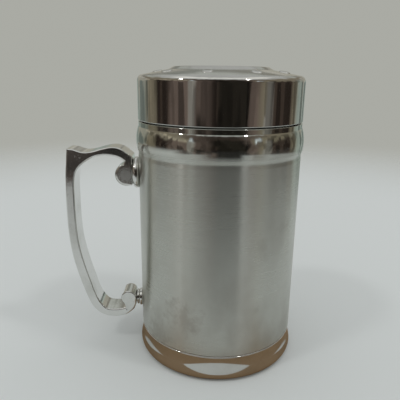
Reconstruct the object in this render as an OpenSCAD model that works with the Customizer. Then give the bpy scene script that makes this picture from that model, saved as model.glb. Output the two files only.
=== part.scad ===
// Double-walled steel mug with a cast scroll handle and a screw lid.
// Millimetres, +Z up, origin at the centre of the base, handle towards -X.

/* [Body] */
// Outer radius of the brushed tube
body_r = 42.5; // [38:0.1:48]
// Height of the shoulder that the lid comes down to
body_h = 127; // [115:0.5:140]
// Wall of the outer shell
shell_t = 0.6; // [0.5:0.05:0.9]

/* [Collar] */
// Height of the polished bulge below the lid
collar_h = 13.9; // [10:0.1:18]
// How far the bulge swells past its own ends
collar_rise = 1.15; // [0.5:0.05:2]
// Depth of the shallow hollow between the tube and the bulge
collar_hollow = 0.2; // [0.1:0.05:0.5]
// Height of the lip between the bulge and the shoulder
collar_lip_h = 2.6; // [2:0.1:4]

/* [Neck] */
// Height of the threaded neck above the shoulder
neck_h = 16; // [14:0.5:20]
// Height of a thread ridge above its wall
thread_d = 1.2; // [0.8:0.1:1.6]
// Width of a thread ridge at its foot
thread_w = 2.4; // [1.8:0.1:2.8]
// Rise of the thread in one turn
thread_lead = 12; // [11:0.5:16]
// Room between a thread ridge and the opposite wall
thread_clear = 0.4; // [0.3:0.05:0.6]
// Distance of the thread's ends from the shoulder and the mouth
thread_margin = 3.4; // [3:0.1:4.5]

/* [Liner] */
// Wall of the liner
liner_t = 0.4; // [0.3:0.05:0.7]
// Room between the liner and the neck
liner_gap = 0.2; // [0.1:0.05:0.4]
// Height of the welded seam between the liner's tube and bottom
liner_z = 9; // [8:0.5:12]
// Rise of the liner's domed bottom
dome_h = 3; // [1.5:0.5:5]
// Thickness of the rolled rim at the mouth
rim_t = 0.8; // [0.5:0.1:1.2]

/* [Base] */
// Height of the polished base cup
base_h = 13.8; // [11:0.1:18]
// Wall of the base cup
base_t = 0.6; // [0.5:0.05:0.9]
// Open seam between the base cup and the tube
base_seam = 0.3; // [0.2:0.05:0.6]
// Radius of the base cup's foot edge
foot_round = 3.2; // [2.4:0.1:4]
// Lean of the base cup's wall where it runs into the foot, in degrees
foot_lean = 12; // [6:1:16]
// Lean the other way just below the cup's upper edge, in degrees
waist_lean = 4; // [1:1:6]
// Middle radius of the stiffening bead in the base
base_bead_r = 22; // [12:1:30]
// Width of the stiffening bead
base_bead_w = 6; // [4:0.5:8]
// Depth of the stiffening bead
base_bead_d = 0.9; // [0.4:0.1:1]

/* [Vacuum closure] */
// Gap between the base cup's floor and the outer bottom
bottom_lift = 1.2; // [1.1:0.1:2]
// Height of the outer bottom's turned-up rim
bottom_rim_h = 5; // [3:0.5:7]
// Radius of the evacuation hole
vent_r = 1.5; // [1:0.1:2.5]
// Radius of the seal's head
seal_r = 4; // [3:0.5:6]
// Thickness of the seal's head
seal_t = 0.6; // [0.4:0.1:0.8]
// Distance of the getter from the mug's axis
getter_x = 18; // [12:1:26]
// Radius of the getter pill
getter_r = 4; // [3:0.5:5]
// Height of the getter pill
getter_h = 2; // [1.5:0.1:3]
// Thickness of the getter's strap
clip_t = 0.3; // [0.2:0.1:0.5]
// Thickness of the foil round the liner
foil_t = 0.15; // [0.1:0.05:0.3]
// Room between the foil and the liner
foil_gap = 0.1; // [0.05:0.05:0.3]

/* [Handle] */
// Height of the lower fixing above the table
lower_lug_z = 22.8; // [20:0.1:30]
// Height of the lower stud above the middle of its lug
lower_stud_rise = 2; // [1.4:0.1:2.4]
// Drop of the upper fixing below the shoulder
upper_lug_drop = 28; // [24:0.5:34]
// Gap between the tube and the handle's lug faces
lug_gap = 3.2; // [2.8:0.1:5]
// Reach of the handle from the tube's wall
grip_reach = 39; // [32:0.1:46]
// Thickness of the casting, front to back
handle_t = 12.8; // [10:0.1:16]
// Radius of the upper scroll
upper_scroll_r = 5.9; // [5:0.1:6.4]
// Radius of the lower scroll
lower_scroll_r = 4.3; // [3.6:0.1:4.6]

/* [Handle fixings] */
// Radius of the studs welded to the tube
stud_r = 2.5; // [2:0.1:2.8]
// How deep a stud reaches into the handle
stud_depth = 4.5; // [3:0.5:5]
// Radial room round a stud
stud_fit = 0.05; // [0.03:0.01:0.1]
// Radius of the upper bead
upper_bead_r = 8.4; // [6.5:0.1:9]
// Edge radius of the upper bead
upper_bead_round = 1.7; // [1:0.1:1.9]
// Length of the round boss on the lower lug
lug_boss_l = 3; // [2:0.5:4]
// Radius of the lower ring
lower_ring_r = 4.3; // [3.6:0.1:5]
// Thickness of the lower ring
lower_ring_t = 1.3; // [1.2:0.1:1.6]
// Edge radius of the lower ring
lower_ring_round = 0.5; // [0.3:0.1:0.6]
// Radius of the lower bead
lower_bead_r = 4.9; // [4:0.1:5.4]
// Edge radius of the lower bead
lower_bead_round = 0.9; // [0.5:0.1:1]
// Radius of the grub screws
grub_r = 1.5; // [1:0.1:1.7]
// Length of the grub screws
grub_l = 2.2; // [1.8:0.1:2.4]
// Radius of the hexagon socket in a grub screw
socket_r = 0.85; // [0.5:0.05:0.9]
// Depth of the hexagon socket
socket_d = 1.1; // [0.8:0.1:1.4]

/* [Lid] */
// How far the lid's wall stands inside the tube's
lid_inset = 0.2; // [0:0.1:1]
// Wall of the lid's steel cover
lid_t = 0.5; // [0.4:0.05:0.8]
// Open seam between the lid and the shoulder
lid_gap = 0.7; // [0.4:0.1:1.2]
// Radius of the lid's shoulder
lid_round = 3; // [2:0.1:4]
// Rise of the sloping band between the shoulder and the middle
crown_rise = 2.4; // [1.6:0.1:4]
// Radius of the raised middle
plateau_r = 24; // [18:0.5:28]
// Width of the step up to the raised middle
plateau_step_w = 2.8; // [1.5:0.1:4]
// Height of the step up to the raised middle
plateau_step_h = 1.5; // [0.8:0.1:2.5]
// Number of raised bosses on the sloping band
boss_count = 9; // [6:1:12]
// Distance of the bosses from the axis
boss_ring_r = 32.5; // [31:0.1:35]
// Radius of one boss
boss_r = 2.8; // [1.5:0.1:3.2]
// Height of one boss
boss_h = 0.7; // [0.3:0.1:1]
// Angle of the first boss about the axis
boss_angle = 256; // [240:0.5:280]

/* [Lid insert] */
// Wall of the threaded insert
insert_t = 1.7; // [1.2:0.1:2.5]
// Room between the insert and the cover
insert_fit = 0.1; // [0.05:0.05:0.2]
// How far the insert's edge is set back from the cover's
insert_setback = 0.3; // [0.1:0.1:0.6]
// Thickness of the insert's roof
roof_t = 1.5; // [1:0.1:2.5]
// Thickness of the seal ring
gasket_t = 2; // [1.5:0.1:3]
// Width of the seal ring
gasket_w = 3.4; // [2.4:0.1:3.8]
// Room on each side of the seal ring
gasket_gap = 0.1; // [0.05:0.05:0.2]
// Width of the rib that keeps the seal ring in place
rib_w = 0.8; // [0.6:0.1:1.2]
// Height of that rib
rib_h = 1.5; // [1:0.1:1.8]
// Room round the insulating foam
foam_gap = 0.3; // [0.2:0.1:0.6]

/* [Hidden] */
$fn = 96;
// Room between faces that are welded, brazed or pressed together
JOIN = 0.02;
// How far a cutting shape runs past the face it cuts
CUT = 1;
STEEL = [0.70, 0.70, 0.68];
BRUSHED = [0.62, 0.62, 0.60];
PLASTIC = [0.82, 0.82, 0.80];

// Radii that follow from the tube's
lid_r = body_r - lid_inset;
insert_r = lid_r - lid_t - insert_fit;
insert_bore_r = insert_r - insert_t;
neck_r = insert_bore_r - thread_clear - thread_d;
liner_r = neck_r - shell_t - liner_gap;

// The base cup's wall is one hollow arc between its foot and its rounded upper edge
foot_end_z = foot_round * (1 + sin(foot_lean));
waist_top_z = base_h - base_t * (1 + sin(waist_lean));
waist_arc_r = (waist_top_z - foot_end_z) / (sin(foot_lean) + sin(waist_lean));
waist_arc_x = body_r - base_t * (1 - cos(waist_lean)) + waist_arc_r * cos(waist_lean);
waist_arc_z = foot_end_z + waist_arc_r * sin(foot_lean);
foot_x = waist_arc_x - (waist_arc_r + foot_round) * cos(foot_lean);
skirt_r = waist_arc_x - waist_arc_r - base_t - JOIN;
skirt_z = foot_round / 2;
bottom_r = skirt_r - shell_t - JOIN;

// Heights that follow from the base, the shoulder and the neck
tube_z = base_h + base_seam;
mouth_z = body_h + neck_h;
bottom_z = base_t + bottom_lift;
bottom_top_z = bottom_z + shell_t;
lid_z = body_h + lid_gap;
roof_z = mouth_z + gasket_t + 2 * gasket_gap;
lid_wall_z = roof_z + roof_t;
crown_z = lid_wall_z + lid_round;
plateau_z = crown_z + crown_rise;
lid_top_z = plateau_z + plateau_step_h;

// The collar's bulge is one arc between two equal ends
collar_end_r = body_r - collar_hollow;
bulge_top_z = body_h - collar_lip_h;
bulge_mid_z = bulge_top_z - collar_h / 2;
bulge_low_z = bulge_top_z - collar_h;
bulge_arc_r = (pow(collar_h / 2, 2) + pow(collar_rise, 2)) / (2 * collar_rise);
bulge_arc_x = collar_end_r + collar_rise - bulge_arc_r;
bulge_half_angle = asin(collar_h / 2 / bulge_arc_r);
hollow_run = 1.5;
lip_inset = 0.15;
lip_r = lid_r - lip_inset;
lip_h = 1.2;
lip_round = 0.5;
tube_edge = 0.2;

// The thread's ridges run from one margin to the other
thread_z = body_h + thread_margin;
thread_sweep = 360 * (neck_h - 2 * thread_margin) / thread_lead;

// Anchors of the handle's outline
upper_lug_z = body_h - upper_lug_drop;
lug_r = body_r + lug_gap;
grip_r = body_r + grip_reach;
lower_stud_z = lower_lug_z + lower_stud_rise;
upper_scroll = [lug_r + 3.4, upper_lug_z - 0.5];
lower_scroll = [lug_r + 4.3, lower_lug_z + 3.9];
grub_x = lug_r + 3;

// Points along an arc, ends included
function arc(centre, r, from, to, steps) = [
    for (i = [0:steps])
        let (a = from + (to - from) * i / steps)
        centre + r * [cos(a), sin(a)]
];

// Every point moved by the same amount
function moved(points, by) = [for (p = points) p + by];

// The same points in the other order
function backwards(points) = [for (i = [len(points) - 1:-1:0]) points[i]];

// One point of a smooth curve between b and c, with neighbours a and d
function curve_point(a, b, c, d, t) =
    0.5 * (2 * b + (c - a) * t + (2 * a - 5 * b + 4 * c - d) * t * t
        + (3 * b - a - 3 * c + d) * t * t * t);

// A smooth curve through every point of a list, ends included
function curve(points, steps = 5) = let (last = len(points) - 1) [
    for (i = [0:last - 1], s = [0:steps - 1])
        curve_point(points[max(i - 1, 0)], points[i], points[i + 1], points[min(i + 2, last)], s / steps),
    points[last]
];

// Outline of the shell's outer face, from the foot of the skirt to the shoulder's inner edge
function shell_face() = concat(
    [[skirt_r, skirt_z], [skirt_r, tube_z], [body_r - tube_edge, tube_z], [body_r, tube_z + tube_edge]],
    [[body_r, bulge_low_z - 2 * hollow_run], [collar_end_r, bulge_low_z - hollow_run]],
    arc([bulge_arc_x, bulge_mid_z], bulge_arc_r, -bulge_half_angle, bulge_half_angle, 14),
    [[lip_r, body_h - lip_h]],
    arc([lip_r - lip_round, body_h - lip_round], lip_round, 0, 90, 4)
);

// Solid of the shell's outer face, grown by a clearance, to cut what sits against it
module shell_space(clear) {
    face = moved(shell_face(), [clear, 0]);
    rotate_extrude()
        polygon(concat([[0, skirt_z]], face, [[0, body_h]]));
}

// Places of the section points of a thread ridge: [share of its height, share of its width]
RIDGE = [[0, -0.5], [0.6, -0.36], [1, -0.14], [1, 0.14], [0.6, 0.36], [0, 0.5]];

// Two helical ridges that lie on a wall of radius r and stand out by d, or in where d is negative
module thread(r, d) {
    outwards = d > 0;
    steps = 48;
    fade = 4;
    sides = len(RIDGE);
    root = outwards ? r / cos(thread_sweep / steps / 2) + JOIN : r * cos(180 / $fn) - JOIN;
    points = [
        for (i = [0:steps], p = RIDGE)
            let (a = thread_sweep * i / steps)
            let (height = d * min(1, (i + 0.6) / fade, (steps - i + 0.6) / fade))
            let (rr = p[0] > 0 ? r + p[0] * height : root)
            [rr * cos(a), rr * sin(a), thread_lead * a / 360 + p[1] * thread_w]
    ];
    function side(i, k) = let (
        a = i * sides + k,
        b = i * sides + (k + 1) % sides,
        c = a + sides,
        e = b + sides
    ) outwards ? [[a, b, c], [b, e, c]] : [[a, c, b], [b, c, e]];
    first = [for (k = [1:sides - 2]) [0, k, k + 1]];
    final = [for (k = [1:sides - 2]) [0, k + 1, k] + steps * sides * [1, 1, 1]];
    ends = concat(first, final);
    caps = outwards ? [for (f = ends) [f[0], f[2], f[1]]] : ends;
    faces = concat([for (i = [0:steps - 1], k = [0:sides - 1]) each side(i, k)], caps);
    for (start = [0, 180])
        rotate(start)
            translate([0, 0, thread_z])
                polyhedron(points, faces);
}

// Steel shell: skirt, brushed tube, polished collar, shoulder and neck
module outer_shell() {
    face = shell_face();
    shoulder = [[neck_r, body_h], [neck_r, mouth_z - rim_t]];
    neck_in = [[neck_r - shell_t, mouth_z - rim_t], [neck_r - shell_t, body_h - shell_t]];
    back = [
        for (p = backwards(face))
            [p[0] - shell_t, p[1] >= body_h - shell_t ? body_h - shell_t : p[1]]
    ];
    step_up = [for (p = back) p[1] == tube_z ? [p[0], tube_z + shell_t] : p];
    color(BRUSHED)
        rotate_extrude()
            polygon(concat(face, shoulder, neck_in, step_up));
}

// Ridges rolled out of the neck
module neck_thread() {
    color(BRUSHED)
        thread(neck_r, thread_d);
}

// Polished cup over the foot of the shell, with a stiffening bead pressed into its floor
module base_cup() {
    bead = [for (s = [-0.5, -0.3, 0.3, 0.5]) base_bead_r + s * base_bead_w];
    low = [[0, 0], [bead[0], 0], [bead[1], base_bead_d], [bead[2], base_bead_d], [bead[3], 0]];
    foot = arc([foot_x, foot_round], foot_round, -90, foot_lean - 3, 8);
    waist = arc([waist_arc_x, waist_arc_z], waist_arc_r, 180 + foot_lean, 180 - waist_lean, 8);
    edge = arc([body_r - base_t, base_h - base_t], base_t, 0, 90, 5);
    waist_in = arc([waist_arc_x, waist_arc_z], waist_arc_r + base_t, 180 - waist_lean, 180 + foot_lean, 8);
    foot_in = arc([foot_x, foot_round], foot_round - base_t, foot_lean - 3, -90, 6);
    floor_in = moved(backwards(low), [0, base_t]);
    color(STEEL)
        rotate_extrude()
            polygon(concat(low, foot, waist, edge, waist_in, foot_in, floor_in));
}

// Dish welded into the skirt, which closes the vacuum space
module outer_bottom() {
    color(BRUSHED)
        difference() {
            translate([0, 0, bottom_z])
                cylinder(h = bottom_rim_h, r = bottom_r);
            translate([0, 0, bottom_top_z])
                cylinder(h = bottom_rim_h, r = bottom_r - shell_t);
            translate([0, 0, bottom_z - CUT])
                cylinder(h = shell_t + 2 * CUT, r = vent_r);
        }
}

// Brazed plug in the evacuation hole
module vacuum_seal() {
    color("peru") {
        translate([0, 0, bottom_z - seal_t])
            cylinder(h = seal_t, r = seal_r);
        translate([0, 0, bottom_z - seal_t / 2])
            cylinder(h = seal_t / 2 + shell_t, r = vent_r - JOIN);
    }
}

// Gas-absorbing pill in the vacuum space
module getter() {
    color("dimgray")
        translate([getter_x, 0, bottom_top_z])
            cylinder(h = getter_h, r = getter_r);
}

// Strap that holds the getter down
module getter_clip() {
    span = 2 * getter_r + 2 * JOIN;
    foot = 2.5;
    width = 3;
    height = getter_h + JOIN;
    color(BRUSHED)
        translate([getter_x, 0, bottom_top_z]) {
            translate([-span / 2 - clip_t, -width / 2, height])
                cube([span + 2 * clip_t, width, clip_t]);
            for (side = [0, 1])
                mirror([side, 0, 0])
                    translate([span / 2, -width / 2, 0]) {
                        cube([clip_t, width, height + clip_t]);
                        cube([foot, width, clip_t]);
                    }
        }
}

// Inner wall with a rolled rim that closes the top of the neck
module liner_tube() {
    inner_r = liner_r - liner_t;
    rim_z = mouth_z - rim_t;
    rim_in = arc([inner_r + rim_t / 2, mouth_z - rim_t / 2], rim_t / 2, 180, 90, 4);
    rim_out = arc([neck_r - rim_t / 2, mouth_z - rim_t / 2], rim_t / 2, 90, -90, 6);
    color(STEEL)
        rotate_extrude()
            polygon(concat([[inner_r, liner_z]], rim_in, rim_out, [[liner_r, rim_z], [liner_r, liner_z]]));
}

// Domed bottom welded under the liner's tube
module liner_bottom() {
    rim_w = 6;
    flat_r = liner_r - rim_w;
    dome_r = (flat_r * flat_r + dome_h * dome_h) / (2 * dome_h);
    half = asin(flat_r / dome_r);
    top = arc([0, liner_z + dome_h - dome_r], dome_r, 90 - half, 90, 10);
    color(STEEL)
        rotate_extrude()
            polygon(concat(
                [[liner_r, liner_z - liner_t], [liner_r, liner_z]],
                top,
                moved(backwards(top), [0, -liner_t])
            ));
}

// Reflecting foil round the liner
module foil_wrap() {
    foil_r = liner_r + foil_gap;
    below = 11;
    color("darkgoldenrod")
        translate([0, 0, liner_z + below])
            difference() {
                foil_h = bulge_low_z - 2 * below - liner_z;
                cylinder(h = foil_h, r = foil_r + foil_t);
                translate([0, 0, -CUT])
                    cylinder(h = foil_h + 2 * CUT, r = foil_r);
            }
}

// Points of the handle's outline, placed from the upper or lower lug and the lug face or the grip
function up_lug(x, z) = [lug_r + x, upper_lug_z + z];
function up_grip(x, z) = [grip_r - x, upper_lug_z + z];
function low_lug(x, z) = [lug_r + x, lower_lug_z + z];
function low_grip(x, z) = [grip_r - x, lower_lug_z + z];

// Waved thumb rest, from the upper lug out to the horn
TOP_EDGE = [
    up_lug(0, 9.4), up_lug(2.7, 11.6), up_lug(6, 13.7), up_lug(10.1, 14.4), up_lug(15.1, 13.5),
    up_grip(14.9, 11.9), up_grip(10.2, 11.6), up_grip(5.4, 13), up_grip(2.3, 13.2)
];
// Outside of the grip, from the horn down round the foot to the lower lug
OUTER_EDGE = [
    up_grip(2.3, 13.2), up_grip(1.5, 6), up_grip(0.5, -3.9), up_grip(0, -19.4), low_grip(0.3, 41.6),
    low_grip(1.9, 28.2), low_grip(5.6, 13.3), low_grip(9.7, 1.3), low_grip(13.8, -4.5),
    low_grip(18.6, -7.1), low_lug(11.5, -7.7), low_lug(6, -6.4), low_lug(1.7, -3.1), low_lug(0, 0.5)
];
// Inside of the grip, from the notch at the lower scroll up to the notch at the upper one
INNER_EDGE = [
    low_lug(6.2, -1.9), low_lug(8.8, -2.8), low_grip(21.2, -3.1), low_grip(17.4, -1.4),
    low_grip(13.6, 4.6), low_grip(10.5, 14.7), low_grip(7.3, 27), low_grip(5.3, 38.3),
    low_grip(4.7, 49.6), up_grip(4.8, -13.1), up_grip(5.2, -3.8), up_grip(7, 2.1),
    up_grip(11.4, 6.4), up_grip(16.5, 9.2), up_lug(14.1, 10.1), up_lug(9.2, 9.6),
    up_lug(6.2, 8.6), up_lug(3.9, 7)
];

// Flat outline of the cast handle, as distance from the axis and height
function handle_outline() = concat(
    curve(TOP_EDGE),
    curve(OUTER_EDGE),
    [[lug_r, lower_scroll[1]]],
    arc(lower_scroll, lower_scroll_r, 150, -50, 14),
    curve(INNER_EDGE),
    arc(upper_scroll, upper_scroll_r, 80, -105, 16),
    [[lug_r, upper_scroll[1] - 0.9 * upper_scroll_r]]
);

// A child drawn along +Z from the axis, laid along -X at a height
module outward(z) {
    translate([0, 0, z])
        rotate([0, -90, 0])
            children();
}

// Length of the hole that a grub screw is driven along
GRUB_RUN = 10;

// Cast handle with a blind bore for each stud and a tapped hole for each grub screw
module handle() {
    color(STEEL)
        difference() {
            union() {
                rotate([90, 0, 0])
                    linear_extrude(height = handle_t, center = true)
                        polygon([for (p = handle_outline()) [-p[0], p[1]]]);
                outward(lower_stud_z)
                    translate([0, 0, lug_r])
                        cylinder(h = lug_boss_l, r = lower_ring_r - lower_ring_round);
            }
            for (z = [lower_stud_z, upper_lug_z]) {
                outward(z)
                    translate([0, 0, lug_r - CUT])
                        cylinder(h = CUT + stud_depth + stud_fit, r = stud_r + stud_fit);
                translate([-grub_x, 0, z - stud_r - GRUB_RUN])
                    cylinder(h = GRUB_RUN + stud_r, r = grub_r + stud_fit);
            }
        }
}

// Round-edged disc on a stud, from one distance off the axis to another
module spacer(z, r, edge, from, to) {
    face = concat(
        [[0, from]],
        arc([r - edge, from + edge], edge, -90, 0, 6),
        arc([r - edge, to - edge], edge, 0, 90, 6),
        [[0, to]]
    );
    color(STEEL)
        difference() {
            outward(z)
                rotate_extrude()
                    polygon(face);
            outward(z)
                translate([0, 0, from - CUT])
                    cylinder(h = to - from + 2 * CUT, r = stud_r + stud_fit);
            shell_space(JOIN);
        }
}

// How far the beads reach behind the tube's face before they are cut to it
UPPER_SINK = 0.6;
LOWER_SINK = 0.35;

// Bead between the tube and the upper lug
module upper_bead() {
    spacer(upper_lug_z, upper_bead_r, upper_bead_round, body_r - UPPER_SINK, lug_r);
}

// Ring against the lower lug
module lower_ring() {
    spacer(lower_stud_z, lower_ring_r, lower_ring_round, lug_r - lower_ring_t, lug_r);
}

// Bead between the tube and the lower ring
module lower_bead() {
    spacer(lower_stud_z, lower_bead_r, lower_bead_round, body_r - LOWER_SINK, lug_r - lower_ring_t);
}

// Stud welded to the tube, which carries a bead and one end of the handle
module stud(z) {
    color(BRUSHED)
        difference() {
            outward(z)
                translate([0, 0, body_r - CUT])
                    cylinder(h = CUT + lug_gap + stud_depth, r = stud_r);
            shell_space(JOIN);
        }
}

module upper_stud() {
    stud(upper_lug_z);
}

module lower_stud() {
    stud(lower_stud_z);
}

// Grub screw driven from below against a stud
module grub_screw(z) {
    color("dimgray")
        translate([-grub_x, 0, z - stud_r - JOIN - grub_l])
            difference() {
                cylinder(h = grub_l, r = grub_r);
                translate([0, 0, -CUT])
                    cylinder(h = socket_d + CUT, r = socket_r, $fn = 6);
            }
}

module upper_grub_screw() {
    grub_screw(upper_lug_z);
}

module lower_grub_screw() {
    grub_screw(lower_stud_z);
}

// Turn of the lid's shoulder, up to where the sloping band starts
LID_TURN = 72;

// Outline of the lid cover's face at a depth t, from its lower edge to the axis
function lid_face(t) = concat(
    [[lid_r - t, lid_z]],
    arc([lid_r - lid_round, lid_wall_z], lid_round - t, 0, LID_TURN, 8),
    [
        [plateau_r + plateau_step_w, plateau_z - t],
        [plateau_r + plateau_step_w / 2, plateau_z + plateau_step_h / 2 - t],
        [plateau_r, lid_top_z - t],
        [0, lid_top_z - t]
    ]
);

// Height of the sloping band at a distance from the axis
function crown_at(r) =
    let (foot_r = lid_r - lid_round * (1 - cos(LID_TURN)))
    let (foot_z = lid_wall_z + lid_round * sin(LID_TURN))
    let (share = (foot_r - r) / (foot_r - plateau_r - plateau_step_w))
    foot_z + share * (plateau_z - foot_z);

// Polished steel cover of the lid, with a ring of plain bosses
module lid_cover() {
    ball_r = (boss_r * boss_r + boss_h * boss_h) / (2 * boss_h);
    color(STEEL) {
        rotate_extrude()
            polygon(concat(lid_face(0), backwards(lid_face(lid_t))));
        intersection() {
            for (i = [0:boss_count - 1])
                rotate(boss_angle + 360 / boss_count * i)
                    translate([boss_ring_r, 0, crown_at(boss_ring_r) + boss_h - ball_r])
                        sphere(r = ball_r);
            rotate_extrude()
                polygon(concat(
                    [for (p = backwards(lid_face(lid_t / 2))) if (p[1] > lid_wall_z) p],
                    [[lid_r, lid_top_z + boss_h], [0, lid_top_z + boss_h]]
                ));
        }
    }
}

// Insert of the lid, with a roof and a rib for the seal ring
module lid_insert() {
    low = lid_z + insert_setback;
    rib_out = insert_bore_r - gasket_gap - gasket_w - gasket_gap;
    rib_in = rib_out - rib_w;
    color(PLASTIC)
        rotate_extrude()
            polygon([
                [insert_bore_r, low], [insert_r, low], [insert_r, lid_wall_z], [0, lid_wall_z],
                [0, roof_z], [rib_in, roof_z], [rib_in, roof_z - rib_h], [rib_out, roof_z - rib_h],
                [rib_out, roof_z], [insert_bore_r, roof_z]
            ]);
}

// Ridges in the insert's bore, a quarter turn from the neck's
module lid_thread() {
    color(PLASTIC)
        rotate(90)
            thread(insert_bore_r, -thread_d);
}

// Insulating foam between the insert's roof and the cover
module lid_foam() {
    top = [for (p = lid_face(lid_t + foam_gap)) if (p[1] > lid_wall_z + 1) p];
    color("ivory")
        rotate_extrude()
            polygon(concat([[top[0][0], lid_wall_z]], top, [[0, lid_wall_z]]));
}

// Silicone ring that seals the lid on the rim
module lid_gasket() {
    outer_r = insert_bore_r - gasket_gap;
    color("whitesmoke")
        translate([0, 0, mouth_z + gasket_gap])
            difference() {
                cylinder(h = gasket_t, r = outer_r);
                translate([0, 0, -CUT])
                    cylinder(h = gasket_t + 2 * CUT, r = outer_r - gasket_w);
            }
}

outer_shell();
neck_thread();
base_cup();
outer_bottom();
vacuum_seal();
getter();
getter_clip();
liner_tube();
liner_bottom();
foil_wrap();
handle();
upper_bead();
lower_ring();
lower_bead();
upper_stud();
lower_stud();
upper_grub_screw();
lower_grub_screw();
lid_cover();
lid_insert();
lid_thread();
lid_foam();
lid_gasket();
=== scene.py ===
"""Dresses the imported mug: smooth turned shells, a rounded cast handle, steel and plastic finishes,
a pale floor, soft light and a camera at the picture's viewing angle. Sizes are in millimetres, and
those of lamps and of noise in metres."""
import math

import bmesh
import bpy
from mathutils import Matrix, Vector


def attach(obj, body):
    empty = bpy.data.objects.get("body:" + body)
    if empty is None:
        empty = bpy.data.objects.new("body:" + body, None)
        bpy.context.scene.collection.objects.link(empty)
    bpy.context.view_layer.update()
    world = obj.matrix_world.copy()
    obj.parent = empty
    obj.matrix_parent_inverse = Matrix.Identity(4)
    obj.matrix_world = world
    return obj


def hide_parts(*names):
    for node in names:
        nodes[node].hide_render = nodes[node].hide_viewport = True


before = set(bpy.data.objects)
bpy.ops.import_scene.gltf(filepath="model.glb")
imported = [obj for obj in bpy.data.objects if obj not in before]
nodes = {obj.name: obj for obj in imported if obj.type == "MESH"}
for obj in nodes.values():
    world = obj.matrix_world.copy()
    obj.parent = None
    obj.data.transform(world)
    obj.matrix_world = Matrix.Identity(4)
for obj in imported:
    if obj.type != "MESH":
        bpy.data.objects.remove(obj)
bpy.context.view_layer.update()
MM = 0.001

# Sizes of the solids that the pieces here stand for
BODY_R, BODY_H, SHELL_T = 42.5, 127.0, 0.6
COLLAR_H, COLLAR_RISE, COLLAR_HOLLOW, COLLAR_LIP_H = 13.9, 1.15, 0.2, 2.6
NECK_H, NECK_R, RIM_T = 16.0, 38.4, 0.8
BASE_H, BASE_T, BASE_SEAM, BASE_EDGE = 13.8, 0.5, 0.3, 0.6
FOOT_ROUND, FOOT_LEAN, WAIST_R, WAIST_LEAN = 3.4, 12.2, 17.0, 8.0
BASE_BEAD_R, BASE_BEAD_W, BASE_BEAD_D = 22.0, 6.0, 0.9
LID_R, LID_T, LID_Z, LID_WALL_Z = 42.3, 0.5, 127.7, 146.7
LID_ROUND, LID_TURN, CROWN_RISE = 3.0, 72.0, 2.4
PLATEAU_R, PLATEAU_STEP_W, PLATEAU_STEP_H = 24.0, 2.8, 1.5
BOSS_COUNT, BOSS_RING_R, BOSS_R, BOSS_H, BOSS_ANGLE = 9, 32.5, 2.8, 0.7, 256.0
LOWER_LUG_Z, LOWER_STUD_Z, UPPER_LUG_Z = 22.8, 24.8, 99.0
LUG_R, GRIP_R, HANDLE_T = 45.7, 81.5, 12.8
UPPER_SCROLL_R, LOWER_SCROLL_R = 5.9, 4.3
UPPER_BEAD_R, UPPER_BEAD_ROUND, UPPER_SINK = 8.4, 1.7, 0.5
LOWER_RING_R, LOWER_RING_T, LOWER_RING_ROUND = 4.3, 1.3, 0.5
LOWER_BEAD_R, LOWER_BEAD_ROUND, LOWER_SINK = 4.9, 0.9, 0.3
STUD_R, STUD_PLAY = 2.5, 0.05
JOIN = 0.02
SKIRT_R = 41.8
UPPER_SCROLL, LOWER_SCROLL = (LUG_R + 3.4, UPPER_LUG_Z - 0.5), (LUG_R + 4.3, LOWER_LUG_Z + 3.9)
MOUTH_Z = BODY_H + NECK_H
TUBE_Z = BASE_H + BASE_SEAM
CROWN_Z = LID_WALL_Z + LID_ROUND
PLATEAU_Z = CROWN_Z + CROWN_RISE
LID_TOP_Z = PLATEAU_Z + PLATEAU_STEP_H

# Sizes of the scene alone: the shell's lip inside the lid's wall, and the lid's lower edge
LIP_STEP, LID_EDGE = 0.15, 0.15
# Bosses: the rim's depth under the face, the closed foot's under the rim, the section's power, steps out and round
BOSS_SINK, BOSS_FOOT, BOSS_POWER, BOSS_RINGS, BOSS_STEPS = 0.05, 0.15, 5, 12, 40
# Rounding of the handle's edges, and what is added to it round the upper scroll and behind the lower one
EDGE_ROUND, SCROLL_EXTRA, ROLL_EXTRA = 0.75, 0.8, 2.2
# Where those additions end: distances from the scrolls' centres, height above the upper lug, distance off its face
SCROLL_REACH, ROLL_REACH, ARM_RISE, LUG_OFF = 9.5, 5.6, 5.5, 0.9
# Bend in degrees from which the handle's outline has a corner, and that corner's radius in bevel widths
CORNER_BEND, CORNER_EASE = 28, 1.2
# Steps round the shells, round a spacer and along a curve between two points
SHELL_STEPS, SPACER_STEPS, CURVE_STEPS = 192, 96, 8
# Share of a side that the rounding of one corner may take, and the least cosine that stretches an inset corner
CORNER_SHARE, MITRE = 0.48, 0.5
# Distance at which vertices become one, and the radius below which a ring is a point
MERGE, POLE_R = 1e-5, 1e-6

# Where the room's front lies, from -Y towards +X. Stains, walls and lamps are placed by their azimuth from it.
ROOM_TURN = math.radians(5.6)


# Plane geometry

def clamp(value):
    return min(max(value, 0), 1)


def arc(cx, cy, r, start, end, steps):
    """Points along an arc, ends included, angles in degrees."""
    out = []
    for i in range(steps + 1):
        a = math.radians(start + (end - start) * i / steps)
        out.append(Vector((cx + r * math.cos(a), cy + r * math.sin(a))))
    return out


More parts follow.
